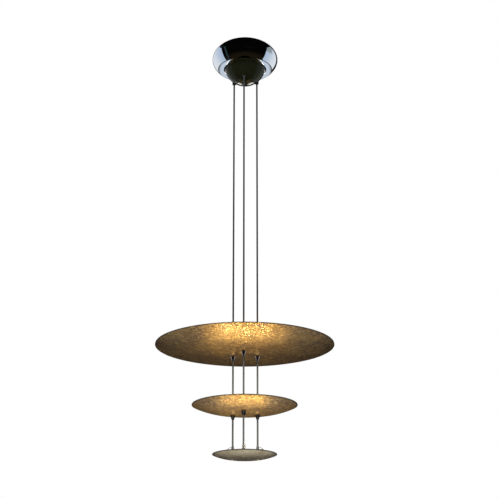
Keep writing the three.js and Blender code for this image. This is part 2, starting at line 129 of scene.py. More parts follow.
class Shade:  # the node tree of a material or of the world
    def __init__(self, owner):
        owner.use_nodes = True
        self.tree = owner.node_tree
        self.tree.nodes.clear()

    def node(self, kind, settings=None, values=None, out=0):
        made = self.tree.nodes.new(kind)
        for key, setting in (settings or {}).items():
            setattr(made, key, setting)
        for key, value in (values or {}).items():
            if isinstance(value, Value):
                self.tree.links.new(value.socket, made.inputs[key])
            else:
                made.inputs[key].default_value = value
        return Value(self, made.outputs[out]) if made.outputs else made

    def outputs(self, kind, names, values=None):  # several outputs of one node
        first = self.node(kind, {}, values)
        return [Value(self, first.socket.node.outputs[name]) for name in names]

    def split(self, vector):
        return self.outputs("ShaderNodeSeparateXYZ", ("X", "Y", "Z"), {0: vector})

    def maths(self, operation, a, b=0.0):
        return self.node("ShaderNodeMath", {"operation": operation}, {0: a, 1: b})

    def blend(self, share, a, b):  # colour a where share is 0, colour b where it is 1
        return self.node("ShaderNodeMix", {"data_type": "RGBA"}, {0: share, 6: a, 7: b}, out=2)

    def rise(self, value, low, high):  # 0 under low, 1 over high, smooth between
        values = {"Value": value, "From Min": low, "From Max": high}
        return self.node("ShaderNodeMapRange", {"interpolation_type": "SMOOTHSTEP"}, values)

    def fall(self, value, low, high):  # 1 under low, 0 over high, smooth between
        return 1 - self.rise(value, low, high)

    def band(self, value, low, full, fade, end):  # 1 from full to fade, 0 under low and over end
        return self.rise(value, low, full) * self.fall(value, fade, end)

    def grain(self, coordinates, scale, detail=3.0, roughness=0.5, distortion=0.0):
        values = {"Vector": coordinates, "Scale": scale, "Detail": detail,
                  "Roughness": roughness, "Distortion": distortion}
        return self.node("ShaderNodeTexNoise", {}, values, out="Fac")

    def place(self, stretch=(1, 1, 1)):
        coordinates = self.node("ShaderNodeTexCoord", out="Object")
        if stretch == (1, 1, 1):
            return coordinates
        return self.node("ShaderNodeMapping", {}, {"Vector": coordinates, "Scale": stretch})

    def bump(self, height, strength, distance):
        values = {"Height": height, "Strength": strength, "Distance": distance}
        return self.node("ShaderNodeBump", {}, values)

    def surface(self, values):
        shader = self.node("ShaderNodeBsdfPrincipled", {}, values)
        self.node("ShaderNodeOutputMaterial", {}, {"Surface": shader})

    def oneSided(self, shader):  # clear when it is seen from behind
        behind = self.node("ShaderNodeNewGeometry", out="Backfacing")
        clear = self.node("ShaderNodeBsdfTransparent")
        both = self.node("ShaderNodeMixShader", {}, {0: behind, 1: shader, 2: clear})
        self.node("ShaderNodeOutputMaterial", {}, {"Surface": both})


def newMaterial(name):
    material = bpy.data.materials.new(name)
    return material, Shade(material)


# Leaf on the dishes: what all three have, then what the lit dishes and the small one have of their own
leafLayers = {  # the noise in each layer, where the layer starts in it and where it is full
    "patches": {"detail": 5, "roughness": 0.6, "distortion": 0.0, "start": 0.34, "full": 0.66},
    "tint": {"detail": 4, "roughness": 0.6, "distortion": 0.6, "start": 0.4, "full": 0.64},
    "flecks": {"detail": 6, "roughness": 0.7, "distortion": 0.8, "start": 0.46, "full": 0.66},
    "sparks": {"detail": 3, "roughness": 0.6, "distortion": 0.0, "start": 0.62, "full": 0.68},
    "cracks": {"detail": 4, "roughness": 0.7, "distortion": 0.0, "start": 0.5, "full": 0.6},
}
leaf = {  # the rim is dark from one distance inside the edge, and fully so from the other
    "tintShare": 0.4, "fleckShare": 0.75, "crackShare": 0.45, "sparkShare": 0.7,
    "rimFrom": 0.005, "rimTo": 0.002, "rimShare": 0.8, "rimColour": srgb(62, 54, 46),
    "crackDulling": 0.16, "fleckShine": 0.06, "fleckRise": 0.7, "crackRise": 0.3,
    "bump": 0.2, "depth": 0.0005,
}
leafOnDish = {
    "shadow": srgb(126, 97, 70), "olive": srgb(176, 143, 94), "gold": srgb(252, 216, 148),
    "plum": srgb(122, 101, 94), "metallic": 1.0, "roughness": 0.34,
    "scales": {"patches": 8, "tint": 18.4, "flecks": 96, "sparks": 104, "cracks": 130},
}
leafOnMiddleDish = dict(leafOnDish, metallic=0.8)
leafOnSmallDish = {
    "shadow": srgb(186, 168, 138), "olive": srgb(228, 214, 186), "gold": srgb(240, 224, 190),
    "plum": srgb(216, 204, 186), "metallic": 0.95, "roughness": 0.3,
    "scales": {"patches": 16, "tint": 36.8, "flecks": 75, "sparks": 128, "cracks": 160},
}


def leafLayer(s, at, layer, scale):  # 1 where the layer is full
    noise = s.grain(at, scale, layer["detail"], layer["roughness"], layer["distortion"])
    return s.rise(noise, layer["start"], layer["full"])


def makeLeaf(name, look, radius):  # small leaves over spun sheet, darker in patches and along the rim
    material, s = newMaterial(name)
    at = s.place()
    x, y = s.split(at)[:2]
    rim = s.rise(x * x + y * y, (radius - leaf["rimFrom"]) ** 2, (radius - leaf["rimTo"]) ** 2)
    shares = [leafLayer(s, at, layer, look["scales"][kind]) for kind, layer in leafLayers.items()]
    patches, tint, flecks, sparks, cracks = shares
    colour = s.blend(patches, look["shadow"], look["olive"])
    colour = s.blend(tint * leaf["tintShare"], colour, look["plum"])
    colour = s.blend(flecks * leaf["fleckShare"], colour, look["gold"])
    colour = s.blend(cracks * leaf["crackShare"], colour, look["shadow"])
    colour = s.blend(sparks * leaf["sparkShare"], colour, look["gold"])
    colour = s.blend(rim * leaf["rimShare"], colour, leaf["rimColour"])
    rough = look["roughness"] + leaf["crackDulling"] * cracks - leaf["fleckShine"] * flecks
    height = leaf["fleckRise"] * flecks + leaf["crackRise"] * cracks
    normal = s.bump(height, leaf["bump"], leaf["depth"])
    s.surface({"Base Color": colour, "Metallic": look["metallic"], "Roughness": rough, "Normal": normal})
    return material


# Plain metals
metalMarks = {
    "tone": (0.4, 0.7), "wear": 0.35, "dulling": (0.45, 0.75), "dullShare": 0.6, "depth": 0.0002,
}


def makeMetal(name, colour, darker, roughness, scale, stretch=(1, 1, 1), bump=0.04, metallic=1.0):
    material, s = newMaterial(name)
    marks = s.grain(s.place(stretch), scale, detail=4, roughness=0.6)
    tone = s.blend(s.rise(marks, *metalMarks["tone"]) * metalMarks["wear"], colour, darker)
    rough = roughness + roughness * metalMarks["dullShare"] * s.rise(marks, *metalMarks["dulling"])
    normal = s.bump(marks, bump, metalMarks["depth"])
    s.surface({"Base Color": tone, "Metallic": metallic, "Roughness": rough, "Normal": normal})
    return material


# Board, porcelain, rubber and tape
mattMarks = {"tone": (0.35, 0.7), "dullShare": 0.1, "bump": 0.2, "depth": 0.0003}


def makeMatt(name, colour, darker, roughness, scale, coat=0.0):
    material, s = newMaterial(name)
    marks = s.grain(s.place(), scale, detail=5, roughness=0.6)
    tone = s.blend(s.rise(marks, *mattMarks["tone"]), colour, darker)
    rough = roughness + mattMarks["dullShare"] * marks
    normal = s.bump(marks, mattMarks["bump"], mattMarks["depth"])
    s.surface({"Base Color": tone, "Roughness": rough, "Coat Weight": coat, "Normal": normal})
    return material


# Polish on the canopy
bowlPolish = {
    "colour": srgb(34, 36, 22), "darker": srgb(28, 30, 18), "scale": 14, "metallic": 0.2,
    "roughness": 0.04, "specular": 0.15, "tint": (0.4, 0.42, 0.36, 1),
}
# the lip colour is painted shade: a dark band on the rolled lip that stands in for the dark reflection its
# edge shows
coverPolish = {
    "colour": srgb(236, 238, 238), "darker": srgb(228, 231, 231), "lip": srgb(44, 46, 46), "scale": 14,
    "shadedLipRadii": (0.0945, 0.0955), "shadedLipHeights": (-0.0936, -0.0931), "roughness": 0.03,
    "bump": 0.01, "depth": 0.0002,
}


def makeBowlMetal():  # dark polish, which mirrors far less than the cover's
    material, s = newMaterial("darkChrome")
    marks = s.grain(s.place(), bowlPolish["scale"], detail=4)
    s.surface({
        "Base Color": s.blend(marks, bowlPolish["colour"], bowlPolish["darker"]),
        "Metallic": bowlPolish["metallic"], "Roughness": bowlPolish["roughness"],
        "Specular IOR Level": bowlPolish["specular"], "Specular Tint": bowlPolish["tint"],
    })
    return material


def makeCoverMetal():  # bright polish, with painted shade on the rolled lip
    material, s = newMaterial("canopyChrome")
    at = s.place()
    marks = s.grain(at, coverPolish["scale"], detail=4)
    x, y, z = s.split(at)
    inner, outer = coverPolish["shadedLipRadii"]
    # painted shade: on the lip the polish is darkened to stand in for a dark reflection
    lip = s.rise(x * x + y * y, inner ** 2, outer ** 2) * s.fall(z, *coverPolish["shadedLipHeights"])
    tone = s.blend(marks, coverPolish["colour"], coverPolish["darker"])
    normal = s.bump(marks, coverPolish["bump"], coverPolish["depth"])
    s.surface({
        "Base Color": s.blend(lip, tone, coverPolish["lip"]), "Metallic": 1.0,
        "Roughness": coverPolish["roughness"], "Normal": normal,
    })
    return material


# Bulb glass and lit coil
glassLook = {
    "colour": srgb(184, 190, 203), "edgeBlend": 0.45, "clearAlpha": 0.4, "edgeAlpha": 0.5,
    "rippleScale": 180, "roughness": 0.04, "rippleShare": 0.03, "specular": 0.6,
}
coilLook = {
    "colour": (1.0, 0.72, 0.4, 1), "bright": (1, 0.86, 0.62, 1), "strength": 0.5, "scale": 900,
    "spots": (0.3, 0.7), "roughness": 0.5,
}


def makeGlass():  # thin clear glass that hides more where it is seen edge on
    material, s = newMaterial("capsuleGlass")
    edge = s.node("ShaderNodeLayerWeight", {}, {"Blend": glassLook["edgeBlend"]}, out="Facing")
    ripples = s.grain(s.place(), glassLook["rippleScale"], detail=2)
    s.surface({
        "Base Color": glassLook["colour"], "Specular IOR Level": glassLook["specular"],
        "Roughness": glassLook["roughness"] + glassLook["rippleShare"] * ripples,
        "Alpha": glassLook["clearAlpha"] + glassLook["edgeAlpha"] * edge * edge,
    })
    return material


def makeGlow():  # lit wire, spotted as its turns would be
    material, s = newMaterial("filamentGlow")
    spots = s.rise(s.grain(s.place(), coilLook["scale"], detail=2), *coilLook["spots"])
    s.surface({
        "Base Color": coilLook["colour"], "Roughness": coilLook["roughness"],
        "Emission Color": s.blend(spots, coilLook["colour"], coilLook["bright"]),
        "Emission Strength": coilLook["strength"],
    })
    return material


goldLeaf = makeLeaf("goldLeaf", leafOnDish, radiusOf("big_dish"))
brightLeaf = makeLeaf("brightLeaf", leafOnMiddleDish, radiusOf("middle_dish"))
agedLeaf = makeLeaf("agedLeaf", leafOnSmallDish, radiusOf("small_dish"))
canopyChrome = makeCoverMetal()
darkChrome = makeBowlMetal()
turnedMetal = makeMetal("turnedMetal", srgb(186, 182, 176), srgb(140, 134, 126),
                        roughness=0.1, scale=60, stretch=(1, 1, 9))
rodSteel = makeMetal("rodSteel", srgb(78, 80, 80), srgb(68, 70, 70),
                     roughness=0.28, scale=12, stretch=(1, 1, 0.1), bump=0.01, metallic=0.5)
zincPlate = makeMetal("zincPlate", srgb(166, 168, 168), srgb(120, 122, 122), roughness=0.35, scale=50)
tinnedWire = makeMetal("tinnedWire", srgb(136, 126, 118), srgb(104, 95, 88), roughness=0.25, scale=200)
laminate = makeMatt("laminate", srgb(70, 55, 42), srgb(48, 38, 30), roughness=0.5, scale=260)
porcelain = makeMatt("porcelain", srgb(232, 228, 216), srgb(214, 208, 194),
                     roughness=0.25, scale=90, coat=0.4)
rubber = makeMatt("rubber", srgb(34, 34, 34), srgb(22, 22, 22), roughness=0.8, scale=300)
windingTape = makeMatt("windingTape", srgb(196, 176, 88), srgb(166, 144, 66),
                       roughness=0.5, scale=60, coat=0.2)
capsuleGlass = makeGlass()
filamentGlow = makeGlow()
nodeFinishes = {
    "zinc": zincPlate, "winding": windingTape, "pad": rubber, "laminate": laminate, "porcelain": porcelain,
    "canopy_chrome": canopyChrome, "polished": turnedMetal, "rod_steel": rodSteel, "gold_leaf": goldLeaf,
    "aged_leaf": agedLeaf, "clear_glass": capsuleGlass, "wire": tinnedWire,
}
for name, node in nodes.items():
    node.data.materials.clear()
    node.data.materials.append(darkChrome if name.endswith("_gland") else nodeFinishes[slotOf[name]])
print("finishes made")

# Mesh helpers
creaseAngle = 35
holeSides = 40


def newObject(name, data):
    made = bpy.data.objects.new(name, data)
    scene.collection.objects.link(made)
    return made


def meshPiece(name, bm, material, crease=creaseAngle, keepNormals=False):
    if not keepNormals:
        bmesh.ops.recalc_face_normals(bm, faces=bm.faces)
    mesh = bpy.data.meshes.new(name)
    bm.to_mesh(mesh)
    bm.free()
    mesh.shade_smooth()
    mesh.set_sharp_from_angle(angle=math.radians(crease))
    mesh.materials.append(material)
    return newObject(name, mesh)


def addTurned(bm, profile, sides, centre=(0, 0), closed=False):  # profile points are (radius, z)
    rings = []
    for radius, z in profile:
        if radius == 0:
            rings.append([bm.verts.new((centre[0], centre[1], z))] * sides)
            continue
        turns = [2 * math.pi * i / sides for i in range(sides)]
        rings.append([bm.verts.new((centre[0] + radius * math.cos(t), centre[1] + radius * math.sin(t), z))
                      for t in turns])
    pairs = list(zip(rings, rings[1:] + rings[:1]))
    for low, high in pairs if closed else pairs[:-1]:
        for i in range(sides):
            j = (i + 1) % sides
            corners = []
            for vert in (low[i], low[j], high[j], high[i]):
                if vert not in corners:
                    corners.append(vert)
            if len(corners) > 2:
                bm.faces.new(corners)


def turnedPiece(name, profile, sides, material, closed=False):
    bm = bmesh.new()
    addTurned(bm, profile, sides, closed=closed)
    return meshPiece(name, bm, material)


def addTube(bm, line, radius, sides):  # a round wire along points that curl about the Y axis
    rings = []
    last = len(line) - 1
    for i, point in enumerate(line):
        along = (line[min(i + 1, last)] - line[max(i - 1, 0)]).normalized()
        sideways = along.cross(Vector((0, 1, 0))).normalized()
        up = sideways.cross(along)
        turns = [math.pi * 2 * k / sides for k in range(sides)]
        rings.append([bm.verts.new(point + radius * (sideways * math.cos(t) + up * math.sin(t)))
                      for t in turns])
    for low, high in zip(rings, rings[1:]):
        for k in range(sides):
            after = (k + 1) % sides
            bm.faces.new((low[k], low[after], high[after], high[k]))
    bm.faces.new(rings[0])
    bm.faces.new(rings[-1])


def arc(centreR, centreZ, radiusR, radiusZ, start, end, steps):
    turns = [start + (end - start) * i / steps for i in range(steps + 1)]
    return [(centreR + radiusR * math.cos(t), centreZ + radiusZ * math.sin(t)) for t in turns]


def sheetProfile(path, thickness):  # a bent sheet, half of its thickness on each side of a path
    def side(sign):
        points = []
        for i, (r, z) in enumerate(path):
            before = path[max(i - 1, 0)]
            after = path[min(i + 1, len(path) - 1)]
            run = after[0] - before[0]
            climb = after[1] - before[1]
            reach = sign * thickness / 2 / math.hypot(run, climb)
            points.append((0 if r == 0 else r + climb * reach, z - run * reach))
        return points
    return side(1) + side(-1)[::-1]


def bored(piece, centres, radius, lowZ, highZ):  # round holes through a piece
    bm = bmesh.new()
    for centre in centres:
        addTurned(bm, [(0, lowZ), (radius, lowZ), (radius, highZ), (0, highZ)], holeSides, centre)
    bmesh.ops.recalc_face_normals(bm, faces=bm.faces)
    mesh = bpy.data.meshes.new("holes")
    bm.to_mesh(mesh)
    bm.free()
    cutter = newObject("holes", mesh)
    modifier = piece.modifiers.new("holes", "BOOLEAN")
    modifier.operation = "DIFFERENCE"
    modifier.solver = "EXACT"
    modifier.object = cutter
    bpy.context.view_layer.update()
    graph = bpy.context.evaluated_depsgraph_get()
    cutMesh = bpy.data.meshes.new_from_object(piece.evaluated_get(graph))
    piece.modifiers.remove(modifier)
    piece.data = cutMesh
    piece.data.set_sharp_from_angle(angle=math.radians(creaseAngle))
    bpy.data.objects.remove(cutter)


def standIn(piece, node):  # the piece takes the place and the body of a CAD node, which is hidden
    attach(piece, bodyOf[node])
    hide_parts(node)


rodCentres = [centreOf(node) for node in ("front_rod", "right_rod", "left_rod")]

# Dishes: spun sheet, flat in the middle and steeper towards the rim
dishForm = {"power": 3, "sheet": 0.0016, "rings": 40}
dishes = {
    "big_dish": {"radius": 0.3, "sag": 0.0287, "hole": 0.0045, "sides": 240, "finish": goldLeaf},
    "middle_dish": {"radius": 0.175, "sag": 0.0271, "hole": 0.0045, "sides": 200, "finish": brightLeaf},
    "small_dish": {"radius": 0.106, "sag": 0.015, "hole": 0.0022, "sides": 160, "finish": agedLeaf},
}


def dishLine(dish, lowZ, inset):  # from the axis out, a distance inside the underside
    power = dishForm["power"]
    line = []
    for i in range(dishForm["rings"] + 1):
        share = math.sqrt(i / dishForm["rings"])
        tilt = math.atan(dish["sag"] * power * share ** (power - 1) / dish["radius"])
        z = lowZ + dish["sag"] * share ** power
        line.append((dish["radius"] * share - inset * math.sin(tilt), z + inset * math.cos(tilt)))
    return line


def makeDish(node, dish):
    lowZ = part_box(node)[0].z
    sheet = dishForm["sheet"]
    profile = dishLine(dish, lowZ, 0) + dishLine(dish, lowZ, sheet)[::-1]
    piece = turnedPiece(node + "_leaf", profile, dish["sides"], dish["finish"])
    bored(piece, rodCentres, dish["hole"], lowZ - sheet, lowZ + dish["sag"])
    standIn(piece, node)


for node, dish in dishes.items():
    makeDish(node, dish)
print("dishes made")

# Canopy: a bun-shaped cover, open below, and the ball-shaped bowl in its recess
canopy = {
    "radius": 0.1176, "halfHeight": 0.0686, "mouthRadius": 0.0725, "lipFall": 0.038,
    "lipRounding": 0.0025, "wallRadius": 0.0756, "rimRadius": 0.0696, "rimRise": 0.004, "sheet": 0.0015,
    "ceilingGap": 0.001, "looseGap": 0.0006, "seatGap": 0.0003, "sides": 192, "steps": 36, "lipSteps": 10,
}
bowl = {"radius": 0.0744, "drop": 0.023, "hole": 0.0052, "sides": 160, "steps": 48}
topRise = canopy["halfHeight"] * math.sqrt(1 - (canopy["mouthRadius"] / canopy["radius"]) ** 2)
widestZ = -canopy["ceilingGap"] - topRise


def makeCover():
    sheet = canopy["sheet"]
    across = canopy["radius"] - sheet / 2
    high = canopy["halfHeight"] - sheet / 2
    fromTurn = math.asin(topRise / high)
    toTurn = -math.asin(canopy["lipFall"] / high)
    outside = arc(0, widestZ, across, high, fromTurn, toTurn, canopy["steps"])
    endR, endZ = outside[-1]
    slope = math.atan2((endZ - widestZ) / high ** 2, endR / across ** 2)
    rounding = canopy["lipRounding"]
    lipR = endR - rounding * math.cos(slope)
    lipZ = endZ - rounding * math.sin(slope)
    lip = arc(lipR, lipZ, rounding, rounding, slope, -math.pi / 2, canopy["lipSteps"])[1:]
    wall = canopy["wallRadius"]
    rimZ = widestZ + canopy["rimRise"]
    recess = [(wall + sheet, lipZ - rounding), (wall, lipZ - rounding + sheet), (wall, rimZ - sheet),
              (wall - sheet, rimZ), (canopy["rimRadius"], rimZ)]
    profile = sheetProfile(outside + lip + recess, sheet)
    piece = turnedPiece("canopy_cover_shell", profile, canopy["sides"], canopyChrome, closed=True)
    standIn(piece, "canopy_cover")


def makeBowl():
    sheet = canopy["sheet"]
    centreZ = widestZ - bowl["drop"]
    flangeZ = widestZ + canopy["rimRise"] - sheet - canopy["seatGap"]
    middle = bowl["radius"] - sheet / 2
    top = math.asin((flangeZ - centreZ) / middle)
    path = arc(0, centreZ, middle, middle, -math.pi / 2, top, bowl["steps"])
    path[0] = (0, path[0][1])
    path.append((canopy["wallRadius"] - sheet - canopy["looseGap"], flangeZ))
    piece = turnedPiece("canopy_bowl_shell", sheetProfile(path, sheet), bowl["sides"], darkChrome)
    bored(piece, rodCentres, bowl["hole"], centreZ - bowl["radius"], centreZ)
    standIn(piece, "canopy_bowl")


makeCover()
makeBowl()
print("canopy made")

# Bulbs: a clear capsule with its flat pinched end, two pins and a lit coil
bulb = {
    "radius": 0.0067, "length": 0.027, "wall": 0.0009, "sides": 32, "glassCrease": 50, "domeSteps": 14,
    "neckShare": 0.55, "footShare": 0.7, "shoulderTurn": 75, "shoulderShare": 1.2, "shoulderSteps": 8,
    "seal": 0.006, "sealWidth": 0.0095, "sealThickness": 0.0032, "sealRounding": 0.0006,
    "pinSpacing": 0.00635, "pinRadius": 0.0005, "pinLength": 0.00685, "pinSides": 12, "leadShare": 0.42,
    "coilRadius": 0.0011, "coilWire": 0.00022, "coilLength": 0.0066, "coilTurns": 9, "coilSteps": 12,
    "coilSides": 6, "coilCrease": 60, "coilShare": 0.56,
}
bulbLight = {
    "middlePower": 0.5, "smallPower": 0.14, "colour": (1.0, 0.8, 0.42), "size": 0.01, "spread": 150,
    "blend": 0.7, "riseShare": 0.85,
}
neck = bulb["radius"] * bulb["neckShare"]


def bulbPlace(node, axis):  # from a bulb made along Z, with 0 at its seal's foot, to its place
    along = [v.co.dot(axis) for v in nodes[node].data.vertices]
    if axis.z > 0.5:  # upright, with its pins in a row round the lamp's axis
        line = Vector(centreOf(node) + (0,))
        across = axis.cross(line.normalized())
    else:  # pointing sideways, with its pins in a level row
        low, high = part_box(node)
        line = Vector((0, 0, (low.z + high.z) / 2))
        across = Vector((0, 0, 1)).cross(axis).normalized()
    foot = line + axis * (min(along) + bulb["pinLength"])
    depth = across.cross(axis)
    return Matrix((
        (depth.x, across.x, axis.x, foot.x),
        (depth.y, across.y, axis.y, foot.y),
        (depth.z, across.z, axis.z, foot.z),
        (0, 0, 0, 1),
    ))


def capsuleProfile(inset):
    radius = bulb["radius"] - inset
    domeZ = bulb["length"] - bulb["radius"]
    lowZ = bulb["seal"] - neck / 2 + inset
    fromTurn = -math.radians(bulb["shoulderTurn"])
    high = neck * bulb["shoulderShare"]
    shoulder = arc(radius - neck, bulb["seal"] + neck, neck, high, fromTurn, 0, bulb["shoulderSteps"])
    dome = arc(0, domeZ, radius, radius, 0, math.pi / 2, bulb["domeSteps"])
    dome[-1] = (0, dome[-1][1])
    return [(0, lowZ), (neck * bulb["footShare"], lowZ)] + shoulder + dome[1:]


def makeCapsule(node, place):
    bm = bmesh.new()
    addTurned(bm, capsuleProfile(0), bulb["sides"])
    addTurned(bm, capsuleProfile(bulb["wall"]), bulb["sides"])
    glass = meshPiece(node + "_glass", bm, capsuleGlass, bulb["glassCrease"])
    glass.data.transform(place)
    standIn(glass, node)
    return glass


def makeSeal(node, place):
    bm = bmesh.new()
    top = bulb["seal"] + neck / 2
    size = Matrix.Diagonal((bulb["sealThickness"], bulb["sealWidth"], top, 1))
    bmesh.ops.create_cube(bm, size=1, matrix=Matrix.Translation((0, 0, top / 2)) @ size)
    bmesh.ops.bevel(bm, geom=bm.edges[:], offset=bulb["sealRounding"], segments=2, affect="EDGES")
    seal = meshPiece(node + "_seal", bm, capsuleGlass)
    seal.data.transform(place)
    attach(seal, bodyOf[node])


def makePins(node, place):  # each goes on through the seal as a thin lead towards the coil
    bm = bmesh.new()
    thick = bulb["pinRadius"]
    thin = thick / 2
    leadZ = bulb["length"] * bulb["leadShare"]
    profile = [(0, -bulb["pinLength"]), (thick, -bulb["pinLength"]), (thick, bulb["seal"] / 2),
               (thin, bulb["seal"]), (thin, leadZ), (0, leadZ)]
    for way in (-1, 1):
        addTurned(bm, profile, bulb["pinSides"], (0, way * bulb["pinSpacing"] / 2))
    pins = meshPiece(node + "_pins", bm, tinnedWire)
    pins.data.transform(place)
    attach(pins, bodyOf[node])


def makeCoil(node, place):
    steps = bulb["coilTurns"] * bulb["coilSteps"]
    radius = bulb["coilRadius"]
    middleZ = bulb["length"] * bulb["coilShare"]
    line = []
    for i in range(steps + 1):
        turn = 2 * math.pi * bulb["coilTurns"] * i / steps
        y = (i / steps - 0.5) * bulb["coilLength"]
        line.append(Vector((radius * math.cos(turn), y, middleZ + radius * math.sin(turn))))
    bm = bmesh.new()
    addTube(bm, line, bulb["coilWire"], bulb["coilSides"])
    coil = meshPiece(node + "_coil", bm, filamentGlow, bulb["coilCrease"])
    coil.data.transform(place)
    coil.visible_shadow = False
    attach(coil, bodyOf[node])


def hangLight(name, data, at, carrier):  # a light that shines up and rides with its carrier
    lamp = newObject(name, data)
    lamp.location = at
    lamp.rotation_euler = (math.pi, 0, 0)
    lamp.visible_camera = False
    lamp.parent = carrier.parent


def makeBulbLight(node, place, glass):
    data = bpy.data.lights.new(node + "_light", "SPOT")
    data.energy = bulbLight["middlePower"] if node.startswith("middle") else bulbLight["smallPower"]
    data.color = bulbLight["colour"]
    data.shadow_soft_size = bulbLight["size"]
    data.spot_size = math.radians(bulbLight["spread"])
    data.spot_blend = bulbLight["blend"]
    at = place @ Vector((0, 0, bulb["length"] * bulbLight["riseShare"]))
    hangLight(node + "_light", data, at, glass)


def makeBulb(node, axis):
    place = bulbPlace(node, axis)
    glass = makeCapsule(node, place)
    makeSeal(node, place)
    makePins(node, place)
    makeCoil(node, place)
    makeBulbLight(node, place, glass)


for joint in frame["joints"]:
    if joint["child"].endswith("_bulb"):
        makeBulb(joint["child"], Vector(joint["axis"]))
print("bulbs made")

# What each lit dish's inside throws up at the dish over it
throwLights = {
    "middle_dish": {"size": 0.35, "rise": 0.05, "power": 0.48},
    "small_dish": {"size": 0.24, "rise": 0.03, "power": 0.28},
}


def makeThrow(node, look):
    data = bpy.data.lights.new(node + "_throw", "AREA")
    data.shape = "DISK"
    data.size = look["size"]
    data.energy = look["power"]
    data.color = bulbLight["colour"]
    at = (0, 0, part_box(node)[0].z + look["rise"])
    hangLight(node + "_throw", data, at, bpy.data.objects[node + "_leaf"])


for node, look in throwLights.items():
    makeThrow(node, look)
print("glow made")

# Stage: a pale floor, a white background and soft lamps
stage = {
    "floorZ": -2.95, "floorHalf": 6.0, "floorCells": 8, "floorRoughness": 0.7, "floorScale": 3,
    "floorColour": srgb(236, 235, 232), "floorDarker": srgb(228, 227, 224), "fill": 0.55, "aimZ": -1.2,
    "roomTurns": 48, "roomRings": 24,
}
softLamps = {
    "softLeft": {"at": (-3.2, -2.6, 0.4), "size": 2.4, "energy": 90},
    "softRight": {"at": (3.4, -1.8, -0.6), "size": 2.4, "energy": 55},
}


def makeFloor():
    bm = bmesh.new()
    cells = stage["floorCells"]
    bmesh.ops.create_grid(bm, x_segments=cells, y_segments=cells, size=stage["floorHalf"])
    material, s = newMaterial("floorPaint")
    marks = s.grain(s.place(), stage["floorScale"], detail=4)
    paint = s.blend(marks, stage["floorColour"], stage["floorDarker"])
    values = {"Base Color": paint, "Roughness": stage["floorRoughness"]}
    s.oneSided(s.node("ShaderNodeBsdfPrincipled", {}, values))
    floor = meshPiece("stageFloor", bm, material, keepNormals=True)
    floor.location = (0, 0, stage["floorZ"])
    floor.visible_glossy = False


def makeWorld():  # white where it is seen or mirrored, and dimmer as a light
    world = bpy.data.worlds.new("plainStudio")
    scene.world = world
    s = Shade(world)
    names = ("Is Camera Ray", "Is Glossy Ray", "Is Transmission Ray")
    seen, mirrored, through = s.outputs("ShaderNodeLightPath", names)
    white = s.maths("MINIMUM", seen + mirrored + through, 1.0)
    strength = stage["fill"] + (1 - stage["fill"]) * white
    background = s.node("ShaderNodeBackground", {}, {"Color": (1, 1, 1, 1), "Strength": strength})
    s.node("ShaderNodeOutputWorld", {}, {"Surface": background})


def makeSoftLamp(name, look):
    data = bpy.data.lights.new(name, "AREA")
    data.shape = "SQUARE"
    data.size = look["size"]
    data.energy = look["energy"]
    lamp = newObject(name, data)
    lamp.location = look["at"]
    aim = Vector((0, 0, stage["aimZ"])) - Vector(look["at"])
    lamp.rotation_euler = aim.to_track_quat("-Z", "Y").to_euler()
    lamp.visible_glossy = False


# Rooms that only mirrors see, painted by direction from their middle: y to the back, z up, and turn,
# which is 0 behind the lamp and half a turn towards the viewer, the same to both sides
crescents = {  # two bright windows low behind the canopy
    "z": -0.06, "radius": 0.99,
    "inner": (0.18, 0.2), "outer": (0.4, 0.46), "heights": (-0.64, -0.56, -0.34, -0.28),
    "taper": 0.08, "taperHeights": (-0.44, -0.41), "light": (12.0, 11.5, 10.6, 1),
}
canopyRoom = {  # what stood round the canopy: dark, with a lit stretch and a pale step to the back
    "z": -0.06, "radius": 1.0,
    "heights": (-0.9, -0.3), "low": srgb(30, 24, 16), "high": srgb(4, 4, 4),
    "belowWay": (0.25, 0.968), "below": (0.95, 0.96), "belowColour": srgb(0, 0, 0),
    "warmTurns": (0.1, 0.3, 0.7, 0.9), "warmHeights": (-0.93, -0.86, -0.72, -0.62),
    "warm": (3.6, 2.0, 0.7, 1),
    "stepTurns": (0.13, 0.16), "stepHeights": (-0.66, -0.63, -0.43, -0.42), "step": srgb(206, 216, 232),
    "stripe": (-0.3, -0.26, -0.22, -0.18), "stripeLeft": (-0.4, -0.3), "stripeColour": srgb(44, 62, 68),
}
paleWalls = {  # the walls to both sides of the canopy, whose near edge is a bent line
    "edgeY": 0.19, "edgeRight": 0.12, "edgeRightFrom": (-0.05, 0.05), "bendZ": -0.05, "bend": 0.6,
    "tip": 0.6, "tipBend": 12, "edge": (-0.015, 0.015), "foot": (-0.86, -0.74), "top": (0.615, 0.635),
    "topClimb": 0.17, "aheadWay": (0.887, 0.462), "aheadRight": 0.17, "aheadRightFrom": (0.0, 0.1),
    "ahead": (0.86, 0.9), "back": (0.2, 0.34),
    "depth": (0.0, 0.9), "near": srgb(184, 202, 228), "far": srgb(236, 240, 248),
    "greyRight": (0.5, 0.7), "greyHeights": (0.0, 0.25), "greyDepth": (0.3, 0.5),
    "grey": srgb(150, 160, 166),
}
farRoom = {  # what the dishes, cones and rods mirror: dim, with pale walls and a light front
    "z": -1.0, "radius": 7.5,
    "heights": (-0.66, -0.34), "low": srgb(194, 194, 188), "high": srgb(24, 21, 22),
    "frontTurns": (2.1, 2.4), "frontHeights": (0.0, 0.08, 0.3, 0.5), "front": (3.2, 3.1, 3.1, 1),
    "wallTurns": (0.58, 0.7, 1.8, 2.0), "wallHeights": (-0.18, -0.1, 0.1, 0.2),
    "wall": srgb(246, 242, 246),
}


def turnFromBack(s, x, y):
    return s.maths("ARCTAN2", s.maths("ABSOLUTE", x), y)


def paintCrescents(s, x, y, z):
    look = crescents
    turn = turnFromBack(s, x, y)
    taper = look["taper"] * s.rise(z, *look["taperHeights"])
    sides = s.rise(turn + taper, *look["inner"]) * s.fall(turn, *look["outer"])
    return s.blend(sides * s.band(z, *look["heights"]), (0, 0, 0, 1), look["light"])


